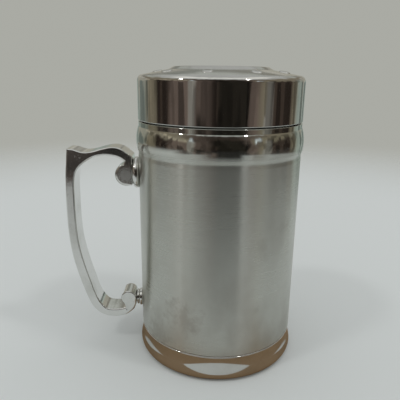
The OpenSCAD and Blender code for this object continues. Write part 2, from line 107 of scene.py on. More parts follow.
def rounded(corners, closed=True, steps=6, hold=0.12):
    """Corners are (x, y, radius). Each is rounded, with a held point on the straight on each side of it."""
    out = []
    count = len(corners)
    for i, (x, y, r) in enumerate(corners):
        p = Vector((x, y))
        if r <= 0 or (not closed and i in (0, count - 1)):
            out.append(p)
            continue
        a = Vector(corners[i - 1][:2]) - p
        b = Vector(corners[(i + 1) % count][:2]) - p
        turn = a.angle(b)
        reach = min(r / math.tan(turn / 2), CORNER_SHARE * a.length, CORNER_SHARE * b.length)
        r = reach * math.tan(turn / 2)
        a.normalize()
        b.normalize()
        centre = p + (a + b).normalized() * (r / math.sin(turn / 2))
        first, last = p + a * reach, p + b * reach
        out.append(first + a * min(hold, reach))
        va, vb = first - centre, last - centre
        sweep = va.angle_signed(vb)
        for k in range(steps + 1):
            t = -sweep * k / steps
            c, s = math.cos(t), math.sin(t)
            out.append(centre + Vector((va.x * c - va.y * s, va.x * s + va.y * c)))
        out.append(last + b * min(hold, reach))
    return out


def curve(points):
    """A smooth curve through every point, ends included."""
    out = []
    last = len(points) - 1
    pts = [Vector(p) for p in points]
    for i in range(last):
        a, b, c, d = pts[max(i - 1, 0)], pts[i], pts[i + 1], pts[min(i + 2, last)]
        for k in range(CURVE_STEPS):
            t = k / CURVE_STEPS
            out.append(0.5 * (2 * b + (c - a) * t + (2 * a - 5 * b + 4 * c - d) * t * t
                              + (3 * b - a - 3 * c + d) * t ** 3))
    out.append(pts[last])
    return out


def around(azimuth, r, height):
    """The point at an azimuth in degrees from the room's front, a distance from the axis and a height."""
    a = math.radians(azimuth) + ROOM_TURN
    return (r * math.sin(a), -r * math.cos(a), height)


# Meshes

def new_object(name, bm):
    """An object from a finished bmesh in millimetres, smooth shaded."""
    bmesh.ops.remove_doubles(bm, verts=bm.verts, dist=MERGE)
    bmesh.ops.recalc_face_normals(bm, faces=bm.faces)
    bmesh.ops.scale(bm, vec=(MM, MM, MM), verts=bm.verts)
    for face in bm.faces:
        face.smooth = True
    mesh = bpy.data.meshes.new(name)
    bm.to_mesh(mesh)
    bm.free()
    obj = bpy.data.objects.new(name, mesh)
    bpy.context.scene.collection.objects.link(obj)
    return obj


def add_face(bm, corners):
    """A face from corners of which two may be the same vertex."""
    bm.faces.new([v for j, v in enumerate(corners) if v not in corners[:j]])


def join(bm, low, high):
    """Faces between two rings of vertices, one of which may be a single point."""
    count = max(len(low), len(high))
    for k in range(count):
        n = (k + 1) % count
        add_face(bm, [low[k % len(low)], low[n % len(low)], high[n % len(high)], high[k % len(high)]])


def spin(bm, profile, segments, place=Matrix.Identity(4)):
    """Turns a closed profile of (radius, height) about Z, then places it."""
    rings = []
    for r, z in profile:
        if r < POLE_R:
            rings.append([bm.verts.new(place @ Vector((0, 0, z)))])
            continue
        ring = []
        for k in range(segments):
            a = 2 * math.pi * k / segments
            ring.append(bm.verts.new(place @ Vector((r * math.cos(a), r * math.sin(a), z))))
        rings.append(ring)
    for i, low in enumerate(rings):
        high = rings[(i + 1) % len(rings)]
        if len(low) > 1 or len(high) > 1:
            join(bm, low, high)


def turned(name, profile, segments, place=Matrix.Identity(4)):
    """An object of its own from a turned profile."""
    bm = bmesh.new()
    spin(bm, profile, segments, place)
    return new_object(name, bm)


def dress(obj, body, slot, mat, *replaced):
    """Hands a new piece to its body and gives it its finish."""
    obj.data.materials.append(mat)
    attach(obj, body)
    if replaced:
        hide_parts(*replaced)


# Materials

class Nodes:
    """A material's node tree with short calls to add to it."""

    def __init__(self, name):
        self.material = bpy.data.materials.new(name)
        self.material.use_nodes = True
        self.tree = self.material.node_tree
        self.shader = self.tree.nodes["Principled BSDF"]

    def add(self, kind, **values):
        """A new node. Each value goes to the setting of that name, or else to the input."""
        node = self.tree.nodes.new(kind)
        for key, value in values.items():
            if hasattr(node, key):
                setattr(node, key, value)
            else:
                node.inputs[key.replace("_", " ")].default_value = value
        return node

    def link(self, source, target):
        self.tree.links.new(source, target)

    def set(self, **values):
        for key, value in values.items():
            self.shader.inputs[key.replace("_", " ")].default_value = value

    def coords(self, kind="Object"):
        return self.add("ShaderNodeTexCoord").outputs[kind]

    def axes(self, vector):
        """The X, Y and Z of a vector."""
        node = self.add("ShaderNodeSeparateXYZ")
        self.link(vector, node.inputs["Vector"])
        return [node.outputs[axis] for axis in "XYZ"]

    def mapped(self, scale=(1, 1, 1), location=(0, 0, 0), turn=0):
        """Object coordinates in metres, stretched on each axis, turned about Z and moved."""
        mapping = self.add("ShaderNodeMapping")
        mapping.inputs["Scale"].default_value = scale
        mapping.inputs["Location"].default_value = location
        mapping.inputs["Rotation"].default_value = (0, 0, turn)
        self.link(self.coords(), mapping.inputs["Vector"])
        return mapping.outputs["Vector"]

    def noise(self, scale, detail, stretch=(1, 1, 1), rough=0.5):
        node = self.add("ShaderNodeTexNoise", Scale=scale, Detail=detail, Roughness=rough)
        self.link(self.mapped(stretch), node.inputs["Vector"])
        return node.outputs["Fac"]

    def remap(self, value, low, high, to_low, to_high, smooth=False):
        node = self.add("ShaderNodeMapRange", From_Min=low, From_Max=high, To_Min=to_low, To_Max=to_high)
        if smooth:
            node.interpolation_type = "SMOOTHSTEP"
        self.link(value, node.inputs["Value"])
        return node.outputs["Result"]

    def past(self, value, low, high, most=1):
        """Rises smoothly from 0 to the most while the value goes from low to high."""
        return self.remap(value, low, high, 0, most, True)

    def fade(self, value, low, high, most=1):
        """Falls smoothly from the most to 0 while the value goes from low to high."""
        return self.remap(value, low, high, most, 0, True)

    def past_angle(self, value, low, high):
        """As past, for an angle whose low and high are given in degrees."""
        return self.past(value, math.radians(low), math.radians(high))

    def math(self, operation, a, b=None):
        node = self.add("ShaderNodeMath", operation=operation)
        for socket, value in zip(node.inputs, (a, b)):
            if value is None:
                continue
            if isinstance(value, (int, float)):
                socket.default_value = value
            else:
                self.link(value, socket)
        return node.outputs["Value"]

    def plus(self, a, b):
        return self.math("ADD", a, b)

    def minus(self, a, b):
        return self.math("SUBTRACT", a, b)

    def times(self, a, b):
        return self.math("MULTIPLY", a, b)

    def larger(self, a, b):
        return self.math("MAXIMUM", a, b)

    def vector(self, operation, a, b=None):
        """The outputs of a vector operation on a socket and, where one is given, a constant."""
        node = self.add("ShaderNodeVectorMath", operation=operation)
        self.link(a, node.inputs[0])
        if b is not None:
            node.inputs[1].default_value = b
        return node.outputs

    def azimuth(self, x, y):
        """The angle about the axis from the room's front towards +X."""
        return self.minus(self.math("ARCTAN2", x, self.times(y, -1)), ROOM_TURN)

    def mix(self, factor, a, b):
        node = self.add("ShaderNodeMix", data_type="RGBA")
        sockets = [s for s in node.inputs if s.type == "RGBA"]
        for socket, value in zip(sockets, (a, b)):
            if isinstance(value, tuple):
                socket.default_value = value + (1,)
            else:
                self.link(value, socket)
        self.link(factor, node.inputs["Factor"])
        return [s for s in node.outputs if s.type == "RGBA"][0]

    def bump(self, height, strength, distance):
        node = self.add("ShaderNodeBump", Strength=strength, Distance=distance)
        self.link(height, node.inputs["Height"])
        self.link(node.outputs["Normal"], self.shader.inputs["Normal"])


# Roughness of clean polish, of the shell's polished part and of brushed steel, and what the lid's top has more
GLOSS, SHELL_GLOSS, BRUSHED, LID_DULL = 0.04, 0.07, 0.28, 0.06
# Heights between which the brushing gives way to polish, the lid's top gets duller and the clouds get weaker
POLISH_FROM, DULL_FROM, CLOUDED = (112.7, 116.2), (147.6, 149.4), (20, 70)
# The dull eye of the upper scroll: added roughness, and the distances from and to which it fades
EYE_ROUGH, EYE_FROM, EYE_TO = 0.24, 1.5, 6.2
# Finger marks on the shell, as (degrees from the room's front towards +X, height, size, strength)
SMUDGES = [
    (-32, 33, 13, 1.0), (-52, 20, 12, 1.0), (8, 28, 9, 0.7), (20, 38, 5, 0.6), (22, 71, 7, 0.5), (38, 77, 8, 0.5),
]


def polished(name, colour, tarnish, rubbed, ripple, specks=None, dull_from=None):
    """Mirror metal with faint rubbing marks, tarnish clouds and a slight ripple. Where they are asked for, it has
    dull specks and a dull scroll, or heights between which it gets duller."""
    m = Nodes(name)
    m.set(Metallic=1.0)
    cloud = m.noise(60, 5, rough=0.6)
    m.link(m.mix(m.past(cloud, 0.42, 0.72), colour, tarnish), m.shader.inputs["Base Color"])
    rub = m.noise(900, 3, (1, 1, 0.15))
    rough = m.remap(m.plus(m.times(cloud, 0.6), m.times(rub, 0.4)), 0.35, 0.68, GLOSS, rubbed)
    if specks:
        rough = m.plus(rough, m.past(m.noise(1100, 3), 0.58, 0.74, specks))
        rough = m.plus(rough, m.past(m.noise(320, 5, rough=0.7), 0.56, 0.72, specks))
        eye = (-UPPER_SCROLL[0] * MM, 0, UPPER_SCROLL[1] * MM)
        off = m.vector("DISTANCE", m.mapped((1, 0, 1)), eye)["Value"]
        rough = m.plus(rough, m.fade(off, EYE_FROM * MM, EYE_TO * MM, EYE_ROUGH))
    if dull_from:
        z = m.axes(m.coords())[2]
        low, high = dull_from
        rough = m.plus(rough, m.past(z, low * MM, high * MM, LID_DULL))
    m.link(rough, m.shader.inputs["Roughness"])
    m.bump(m.noise(140, 2), ripple, 0.2 * MM)
    return m.material


def satin(name, colour, shade, polish_from=None, smudges=()):
    """Steel brushed round the axis and clouded. Where they are asked for, it has finger marks, or heights between
    which the brushing gives way to polish."""
    m = Nodes(name)
    m.set(Metallic=1.0, Anisotropic=1.0, Anisotropic_Rotation=0.25)
    tangent = m.add("ShaderNodeTangent", direction_type="RADIAL", axis="Z")
    m.link(tangent.outputs["Tangent"], m.shader.inputs["Tangent"])
    lines = m.noise(30, 8, (0.8, 0.8, 130), 0.75)
    coords = m.coords()
    z = m.axes(coords)[2]
    cloud = m.past(m.noise(38, 4, (1, 1, 0.8), 0.55), 0.40, 0.70)
    stain = m.times(cloud, m.remap(z, CLOUDED[0] * MM, CLOUDED[1] * MM, 0.9, 0.4, True))
    ragged = m.minus(m.noise(210, 6, rough=0.7), 0.5)
    for azimuth, height, size, strength in smudges:
        off = m.vector("DISTANCE", coords, around(azimuth, BODY_R * MM, height * MM))["Value"]
        off = m.plus(off, m.times(ragged, 3 * size * MM))
        stain = m.larger(stain, m.fade(off, 0, 1.1 * size * MM, strength))
    grain = m.remap(lines, 0.3, 0.7, -0.02, 0.02)
    rough = m.plus(m.plus(grain, BRUSHED), m.times(stain, 0.05))
    tone = m.mix(m.times(stain, 0.5), colour, shade)
    height = m.plus(lines, m.times(m.noise(420, 2, (1, 1, 4)), 0.8))
    if polish_from:
        low, high = polish_from
        mask = m.past(z, low * MM, high * MM)
        keep = m.minus(1.0, mask)
        rough = m.plus(m.times(rough, keep), m.times(mask, SHELL_GLOSS))
        height = m.times(height, keep)
    m.link(rough, m.shader.inputs["Roughness"])
    m.link(tone, m.shader.inputs["Base Color"])
    m.bump(height, 0.12, 0.05 * MM)
    return m.material


def plain(name, colour, shade, roughness, metallic=0.0, scale=80, ripple=0.08):
    """Moulded, sintered or soft stuff: two tones in clouds, uneven gloss and a fine skin."""
    m = Nodes(name)
    m.set(Metallic=metallic)
    cloud = m.noise(scale, 5)
    m.link(m.mix(m.remap(cloud, 0.35, 0.7, 0, 1), colour, shade), m.shader.inputs["Base Color"])
    m.link(m.remap(cloud, 0.3, 0.7, roughness - 0.06, roughness + 0.06), m.shader.inputs["Roughness"])
    m.bump(m.noise(scale * 20, 2), ripple, 0.1 * MM)
    return m.material


STEEL_TONES = (0.63, 0.625, 0.60), (0.56, 0.55, 0.52)
BRIGHT = polished("bright_steel", *STEEL_TONES, 0.10, 0.04)
LID_STEEL = polished("lid_steel", *STEEL_TONES, 0.10, 0.04, dull_from=DULL_FROM)
CHROME = polished("plated_casting", (0.74, 0.74, 0.72), (0.62, 0.62, 0.59), 0.12, 0.10, specks=0.22)
SATIN = satin("brushed_shell", (0.60, 0.61, 0.565), (0.38, 0.36, 0.32), POLISH_FROM, SMUDGES)
LINER = satin("drawn_liner", (0.64, 0.64, 0.63), (0.56, 0.56, 0.55))
OXIDE = plain("black_oxide", (0.10, 0.10, 0.105), (0.16, 0.155, 0.15), 0.42, 1.0)
BRAZE = plain("brazing_alloy", (0.62, 0.45, 0.25), (0.48, 0.34, 0.20), 0.38, 1.0)
GETTER = plain("sintered_pill", (0.33, 0.33, 0.34), (0.24, 0.24, 0.25), 0.72, 1.0, 300, 0.3)
FOIL = plain("bright_foil", (0.72, 0.50, 0.36), (0.62, 0.42, 0.30), 0.22, 1.0, 120, 0.3)
PLASTIC = plain("moulded_insert", (0.80, 0.80, 0.78), (0.76, 0.76, 0.735), 0.42)
FOAM = plain("foam", (0.90, 0.88, 0.80), (0.84, 0.815, 0.73), 0.9, 0.0, 400, 0.5)
SILICONE = plain("silicone_ring", (0.86, 0.86, 0.84), (0.81, 0.81, 0.79), 0.5, 0.0, 120, 0.05)

# Nodes of the pack that are shown as they are
FINISH = {
    "neck_thread": BRIGHT, "outer_bottom": LINER, "vacuum_seal": BRAZE, "getter": GETTER,
    "getter_clip": LINER, "liner_tube": LINER, "liner_bottom": LINER, "foil_wrap": FOIL,
    "upper_stud": LINER, "lower_stud": LINER, "upper_grub_screw": OXIDE, "lower_grub_screw": OXIDE,
    "lid_insert": PLASTIC, "lid_thread": PLASTIC, "lid_foam": FOAM, "lid_gasket": SILICONE,
}
for node_name, finish in FINISH.items():
    slots = nodes[node_name].data.materials
    slots.clear()
    slots.append(finish)


# Shell, base cup and lid cover

def shell_profile():
    """Section of the shell: outer face up, then the inner face down."""
    end_r = BODY_R - COLLAR_HOLLOW
    top_z = BODY_H - COLLAR_LIP_H
    low_z = top_z - COLLAR_H
    arc_r = ((COLLAR_H / 2) ** 2 + COLLAR_RISE ** 2) / (2 * COLLAR_RISE)
    arc_x = end_r + COLLAR_RISE - arc_r
    half = math.degrees(math.asin(COLLAR_H / 2 / arc_r))
    lip_r = LID_R - LIP_STEP
    # From the skirt inside the base cup up the tube to the hollow under the collar
    lower = rounded([
        (SKIRT_R, FOOT_ROUND / 2, 0), (SKIRT_R, TUBE_Z, 0), (BODY_R, TUBE_Z, 0.25),
        (BODY_R, low_z - 1.4, 5), (end_r, low_z + 0.8, 3), (end_r + 0.7, low_z + 2.6, 0),
    ], closed=False)[:-1]
    # The collar is most of an arc, whose lower end the hollow takes up
    bulge = arc(arc_x, low_z + COLLAR_H / 2, arc_r, -half * 0.62, half * 0.97, 24)
    # Lip, shoulder and neck
    upper = rounded([
        (end_r + 0.05, top_z - 0.2, 0), (lip_r, top_z + 0.25, 0.5), (lip_r, BODY_H, 0.25),
        (NECK_R, BODY_H, 0.3), (NECK_R, MOUTH_Z - RIM_T, 0),
    ], closed=False)[1:]
    inner_r = BODY_R - SHELL_T
    inner = rounded([
        (NECK_R - SHELL_T, MOUTH_Z - RIM_T, 0), (NECK_R - SHELL_T, BODY_H - SHELL_T, 0.4),
        (lip_r - SHELL_T, BODY_H - SHELL_T, 0.3), (inner_r, low_z, 2), (inner_r, TUBE_Z + SHELL_T, 0.2),
        (SKIRT_R - SHELL_T, TUBE_Z + SHELL_T, 0.2), (SKIRT_R - SHELL_T, FOOT_ROUND / 2, 0),
    ], closed=False)
    return lower + bulge + upper + inner


def base_profile():
    """Section of the base cup: upper edge, hollow wall and foot down to the floor, then back inside."""
    lean, waist = math.radians(FOOT_LEAN), math.radians(WAIST_LEAN)
    edge = arc(BODY_R - BASE_EDGE, BASE_H - BASE_EDGE, BASE_EDGE, 80, -WAIST_LEAN, 12)
    x, z = edge[-1].x + WAIST_R * math.cos(waist), edge[-1].y - WAIST_R * math.sin(waist)
    wall = arc(x, z, WAIST_R, 180 - WAIST_LEAN, 180 + FOOT_LEAN, 20)
    drop = wall[-1].y - FOOT_ROUND * (1 + math.sin(lean))
    foot_x = wall[-1].x + drop * math.tan(lean) - FOOT_ROUND * math.cos(lean)
    foot = arc(foot_x, FOOT_ROUND, FOOT_ROUND, FOOT_LEAN, -90, 18)
    bead = [BASE_BEAD_R + s * BASE_BEAD_W for s in (-0.5, -0.3, 0.3, 0.5)]
    ring = list(zip(bead, (0, BASE_BEAD_D, BASE_BEAD_D, 0)))

    def floor(lift):
        pressed = [(r, h + lift, 0.8) for r, h in ring]
        return rounded([(0, lift, 0)] + pressed + [(foot_x, lift, 0)], closed=False)

    inner = arc(foot_x, FOOT_ROUND, FOOT_ROUND - BASE_T, -90, FOOT_LEAN, 8)[1:]
    inner += arc(x, z, WAIST_R + BASE_T, 180 + FOOT_LEAN, 180 - WAIST_LEAN, 8)
    return edge + wall[1:] + foot[:-1] + floor(0)[::-1] + floor(BASE_T) + inner


def band_foot():
    """Distance from the axis and height at which the lid's sloping band leaves its rounded edge."""
    turn = math.radians(LID_TURN)
    return LID_R - LID_ROUND * (1 - math.cos(turn)), LID_WALL_Z + LID_ROUND * math.sin(turn)


def lid_profile():
    """Section of the lid cover: outer face up to the axis, then the inner face back."""
    wall = [
        Vector((LID_R - LID_EDGE, LID_Z)), Vector((LID_R, LID_Z + LID_EDGE)), Vector((LID_R, LID_Z + 0.4)),
        Vector((LID_R, LID_WALL_Z - 0.3)),
    ]
    turn = arc(LID_R - LID_ROUND, LID_WALL_Z, LID_ROUND, 0, LID_TURN, 12)
    step = rounded([
        (*band_foot(), 0), (PLATEAU_R + PLATEAU_STEP_W, PLATEAU_Z, 2.2), (PLATEAU_R, LID_TOP_Z, 1.6),
        (0, LID_TOP_Z, 0),
    ], closed=False)[1:]
    inner_turn = arc(LID_R - LID_ROUND, LID_WALL_Z, LID_ROUND - LID_T, LID_TURN, 0, 8)
    inner_step = rounded([
        (0, LID_TOP_Z - LID_T, 0), (PLATEAU_R, LID_TOP_Z - LID_T, 1.2),
        (PLATEAU_R + PLATEAU_STEP_W, PLATEAU_Z - LID_T, 1.2), (*inner_turn[0], 0),
    ], closed=False)[:-1]
    inner_r = LID_R - LID_T
    inner_wall = [Vector((inner_r, LID_Z + 0.3)), Vector((inner_r, LID_Z + 0.1)), Vector((inner_r + 0.1, LID_Z))]
    return wall + turn + step + inner_step + inner_turn + inner_wall


def boss(bm, angle):
    """A low dome pressed out of the lid's sloping band, closed just under the face."""
    foot_r, foot_z = band_foot()
    slope = (PLATEAU_Z - foot_z) / (foot_r - PLATEAU_R - PLATEAU_STEP_W)
    a = math.radians(angle)
    out = Vector((math.cos(a), math.sin(a), 0))
    side = Vector((-math.sin(a), math.cos(a), 0))
    rows = []
    for i in range(BOSS_RINGS + 1):
        rho = BOSS_R * i / BOSS_RINGS
        lift = BOSS_H * (1 - (i / BOSS_RINGS) ** BOSS_POWER) - (BOSS_SINK if i == BOSS_RINGS else 0)
        row = []
        for k in range(BOSS_STEPS if i else 1):
            t = 2 * math.pi * k / BOSS_STEPS
            p = out * (BOSS_RING_R + rho * math.cos(t)) + side * (rho * math.sin(t))
            r = math.hypot(p.x, p.y)
            p.z = foot_z + slope * (foot_r - r) + lift
            row.append(bm.verts.new(p))
        rows.append(row)
    rows.append([bm.verts.new(v.co - Vector((0, 0, BOSS_FOOT))) for v in rows[-1]])
    bm.faces.new(rows[-1])
    for high, low in zip(rows, rows[1:]):
        for k in range(BOSS_STEPS):
            n = (k + 1) % BOSS_STEPS
            add_face(bm, [high[k % len(high)], low[k], low[n], high[n % len(high)]])


dress(turned("shell", shell_profile(), SHELL_STEPS), "mug", "brushed_steel", SATIN, "outer_shell")
dress(turned("foot_cup", base_profile(), SHELL_STEPS), "mug", "polished_steel", BRIGHT, "base_cup")
lid_bm = bmesh.new()
spin(lid_bm, lid_profile(), SHELL_STEPS)
for number in range(BOSS_COUNT):
    boss(lid_bm, BOSS_ANGLE + 360 / BOSS_COUNT * number)
dress(new_object("lid_shell", lid_bm), "lid", "polished_steel", LID_STEEL, "lid_cover")


# Handle, drawn by points at a distance from its lugs' faces or from its outermost line, and a height above a lug

def up_lug(x, z):
    return (LUG_R + x, UPPER_LUG_Z + z)


def up_grip(x, z):
    return (GRIP_R - x, UPPER_LUG_Z + z)


def low_lug(x, z):
    return (LUG_R + x, LOWER_LUG_Z + z)


def low_grip(x, z):
    return (GRIP_R - x, LOWER_LUG_Z + z)


TOP_EDGE = [
    up_lug(0, 9.4), up_lug(2.7, 11.6), up_lug(6, 13.7), up_lug(10.1, 14.4), up_lug(15.1, 13.5),
    up_grip(14.9, 11.9), up_grip(10.2, 11.6), up_grip(5.4, 13), up_grip(2.3, 13.2),
]
OUTER_EDGE = [
    up_grip(2.3, 13.2), up_grip(1.5, 6), up_grip(0.5, -3.9), up_grip(0, -19.4), low_grip(0.3, 41.6),
    low_grip(1.9, 28.2), low_grip(5.6, 13.3), low_grip(9.7, 1.3), low_grip(13.8, -4.5),
    low_grip(18.6, -7.1), low_lug(11.5, -7.7), low_lug(6, -6.4), low_lug(1.7, -3.1), low_lug(0, 0.5),
]
INNER_EDGE = [
    low_lug(6.2, -1.9), low_lug(8.8, -2.8), low_grip(21.2, -3.1), low_grip(17.4, -1.4),
    low_grip(13.6, 4.6), low_grip(10.5, 14.7), low_grip(7.3, 27), low_grip(5.3, 38.3),
    low_grip(4.7, 49.6), up_grip(4.8, -13.1), up_grip(5.2, -3.8), up_grip(7, 2.1),
    up_grip(11.4, 6.4), up_grip(16.5, 9.2), up_lug(14.1, 10.1), up_lug(9.2, 9.6),
    up_lug(6.2, 8.6), up_lug(3.9, 7),
]


def bevel(p, back=False):
    """Width of the rounded edge at a point of the outline. It is wider behind the lower scroll, and round the upper
    one, but not on the arm above that or close to the lug's face."""
    scroll = (SCROLL_REACH - (p - Vector(UPPER_SCROLL)).length) / 3
    below_arm = (UPPER_LUG_Z + ARM_RISE - p.y) / 3
    off_lug = (p.x - LUG_R - LUG_OFF) / 2
    roll = (ROLL_REACH - (p - Vector(LOWER_SCROLL)).length) / 1.2 if back else 0
    return EDGE_ROUND + SCROLL_EXTRA * clamp(min(scroll, below_arm, off_lug)) + ROLL_EXTRA * clamp(roll)


def handle_outline():
    """Closed outline of the casting, as distance from the axis and height, with its corners eased."""
    path = curve(TOP_EDGE)[:-1] + curve(OUTER_EDGE)
    path += [Vector((LUG_R, LOWER_SCROLL[1]))]
    path += arc(*LOWER_SCROLL, LOWER_SCROLL_R, 150, -50, 28)
    path += curve(INNER_EDGE)
    path += arc(*UPPER_SCROLL, UPPER_SCROLL_R, 80, -105, 32)
    path += [Vector((LUG_R, UPPER_SCROLL[1] - 0.9 * UPPER_SCROLL_R))]
    count = len(path)
    corners = []
    for i, p in enumerate(path):
        a, b = p - path[i - 1], path[(i + 1) % count] - p
        sharp = math.degrees(a.angle(b)) > CORNER_BEND
        corners.append((p.x, p.y, CORNER_EASE * bevel(p) if sharp else 0))
    return rounded(corners, steps=5, hold=0.1)


def inset(outline, depths):
    """The outline moved inwards at each point by the depth given for it, along the bisector."""
    count = len(outline)
    area = sum(outline[i - 1].x * outline[i].y - outline[i].x * outline[i - 1].y for i in range(count))
    inward = 1 if area > 0 else -1
    out = []
    for i, (p, depth) in enumerate(zip(outline, depths)):
        a = (p - outline[i - 1]).normalized()
        b = (outline[(i + 1) % count] - p).normalized()
        na, nb = Vector((-a.y, a.x)) * inward, Vector((-b.y, b.x)) * inward
        n = (na + nb).normalized()
        out.append(p + n * depth / max(n.dot(na), MITRE))
    return out


def handle_mesh():
    """The casting, its outline rounded over into two flat faces."""
    half, steps, hold = HANDLE_T / 2, 6, 0.12
    outline = handle_outline()
    bm = bmesh.new()
    # The rounding in shares of its width, inwards and sideways, with a held ring before it and after it
    quarter = [math.pi / 2 * k / steps for k in range(steps + 1)]
    levels = [(0, -hold)] + [(1 - math.cos(a), math.sin(a)) for a in quarter] + [(1 + hold, 1)]
    walls = []
    for side in (1, -1):
        edge = [bevel(p, side > 0) for p in outline]
        rings = []
        for share, rise in levels:
            ring = zip(edge, inset(outline, [e * share for e in edge]))
            rings.append([bm.verts.new((-q.x, side * (half - e * (1 - rise)), q.y)) for e, q in ring])
        for low, high in zip(rings, rings[1:]):
            join(bm, low, high)
        face = rings[-1]
        rim = [bm.edges.get((face[i - 1], face[i])) for i in range(len(face))]
        bmesh.ops.triangle_fill(bm, edges=rim, use_beauty=True)
        walls.append(rings[0])
    join(bm, *walls)
    return new_object("scroll_handle", bm)


dress(handle_mesh(), "mug", "cast_chrome", CHROME, "handle")


def spacer(name, z, r, edge, start, end, node):
    """A bead or ring round a stud, from one distance off the mug's axis to another."""
    length = end - start
    bore = STUD_R + STUD_PLAY
    profile = rounded([(bore, 0, 0.15), (r, 0, edge), (r, length, edge), (bore, length, 0.15)], steps=8)
    along = Matrix.Rotation(math.radians(-90), 4, "Y")
    place = Matrix.Translation((0, 0, z)) @ along @ Matrix.Translation((0, 0, start))
    dress(turned(name, profile, SPACER_STEPS, place), "mug", "cast_chrome", CHROME, node)


RING_START = LUG_R - LOWER_RING_T
spacer("bead_upper", UPPER_LUG_Z, UPPER_BEAD_R, UPPER_BEAD_ROUND, BODY_R - UPPER_SINK, LUG_R - JOIN, "upper_bead")
spacer("ring_lower", LOWER_STUD_Z, LOWER_RING_R, LOWER_RING_ROUND, RING_START, LUG_R - JOIN, "lower_ring")
spacer("bead_lower", LOWER_STUD_Z, LOWER_BEAD_R, LOWER_BEAD_ROUND, BODY_R - LOWER_SINK, RING_START, "lower_bead")


# Floor, light and camera

FLOOR_R, FLOOR_Z = 3000, -0.1
# The floor's pale colour, and the warm colour of a painted board reflection that only mirrors see
FLOOR_PALE, BOARD_REFLECTION_TINT = (0.745, 0.785, 0.775), (0.34, 0.235, 0.135)
BACKDROP, AMBIENT = (0.40, 0.405, 0.37), (0.62, 0.62, 0.62)
# The painted reflection of a warm board that mirrors see close by: its shift and turn, half its sides, and where its
# rounded corners end
PATCH_SHIFT, PATCH_TURN = (0.5, 6.6, 0), math.radians(0.4)
PATCH_HALF, PATCH_ROUND = (44.5, 44.8, 1000), (5.6, 6.4)
# Distances over which the floor fades out, and over which its mirror image goes dark with painted shade, far out and
# in the wedge
FLOOR_FADE, AHEAD_FADE, WEDGE_FADE = (340, 900), (340, 470), (100, 300)
# The wedge of painted shade in mirrors, as (start and end of a change in degrees from the room's front towards +X,
# change), and how dark it gets
DARKEST = 0.97
WEDGE = [(-80, -20, 0.4), (-38, -14, 0.6), (15, 25, -0.7), (31, 37, 0.3), (46, 62, -0.4), (62, 85, -0.2)]


def make_floor():
    """A pale floor that fades into the backdrop. What mirrors it sees it with a painted reflection of a warm board
    close by, and with painted shade in front.
    """
    bm = bmesh.new()
    bmesh.ops.create_circle(bm, cap_ends=True, segments=64, radius=FLOOR_R)
    bmesh.ops.translate(bm, vec=(0, 0, FLOOR_Z), verts=bm.verts)
    floor = new_object("floor", bm)
    m = Nodes("pale_floor")
    m.set(Roughness=0.9)
    coords = m.coords()
    distance = m.vector("LENGTH", coords)["Value"]

    def beyond(fade):
        return m.past(distance, fade[0] * MM, fade[1] * MM)

    x, y, _ = m.axes(coords)
    turn = m.azimuth(x, y)
    mirrored = m.add("ShaderNodeLightPath").outputs["Is Glossy Ray"]

    # Painted reflection: near the mug, mirrors see the floor in a warm board colour that the camera does not see
    patch = m.mapped(location=Vector(PATCH_SHIFT) * MM, turn=PATCH_TURN)
    patch = m.vector("SUBTRACT", m.vector("ABSOLUTE", patch)["Vector"], Vector(PATCH_HALF) * MM)["Vector"]
    corner = m.vector("LENGTH", m.vector("MAXIMUM", patch, (0, 0, 0))["Vector"])["Value"]
    board_reflection = m.fade(corner, PATCH_ROUND[0] * MM, PATCH_ROUND[1] * MM)
    tint = m.mix(m.times(board_reflection, mirrored), FLOOR_PALE, BOARD_REFLECTION_TINT)
    m.link(tint, m.shader.inputs["Base Color"])

    # Painted shade: in a wedge in front and far out, mirrors see through the floor to the dark room
    wedge = 0
    for low, high, change in WEDGE:
        wedge = m.plus(wedge, m.times(m.past_angle(turn, low, high), change))
    wedge = m.times(wedge, beyond(WEDGE_FADE))
    ahead = m.times(beyond(AHEAD_FADE), m.past_angle(turn, -80, -50))
    dark = m.times(m.larger(wedge, ahead), DARKEST)
    gone = m.larger(beyond(FLOOR_FADE), m.times(dark, mirrored))
    clear = m.add("ShaderNodeBsdfTransparent")
    blend = m.add("ShaderNodeMixShader")
    m.link(gone, blend.inputs["Fac"])
    m.link(m.shader.outputs["BSDF"], blend.inputs[1])
    m.link(clear.outputs["BSDF"], blend.inputs[2])
    m.link(blend.outputs["Shader"], m.tree.nodes["Material Output"].inputs["Surface"])
    floor.data.materials.append(m.material)


PALE, KHAKI, BROWN = (0.27, 0.31, 0.28), (0.17, 0.15, 0.11), (0.11, 0.085, 0.072)
DARK, BLACK, STREAK = (0.04, 0.03, 0.024), (0.015, 0.013, 0.010), (0.22, 0.21, 0.19)
TAN, SAND = (0.24, 0.21, 0.16), (0.36, 0.32, 0.25)
GLARE, CEILING, SOFTBOX = (0.62, 0.68, 0.72), (0.52, 0.53, 0.52), (0.95, 0.95, 0.92)
BACK, HAZE = (0.24, 0.25, 0.225), (0.38, 0.37, 0.33)
SHEEN, SKY = (0.37, 0.36, 0.305), (0.46, 0.48, 0.445)

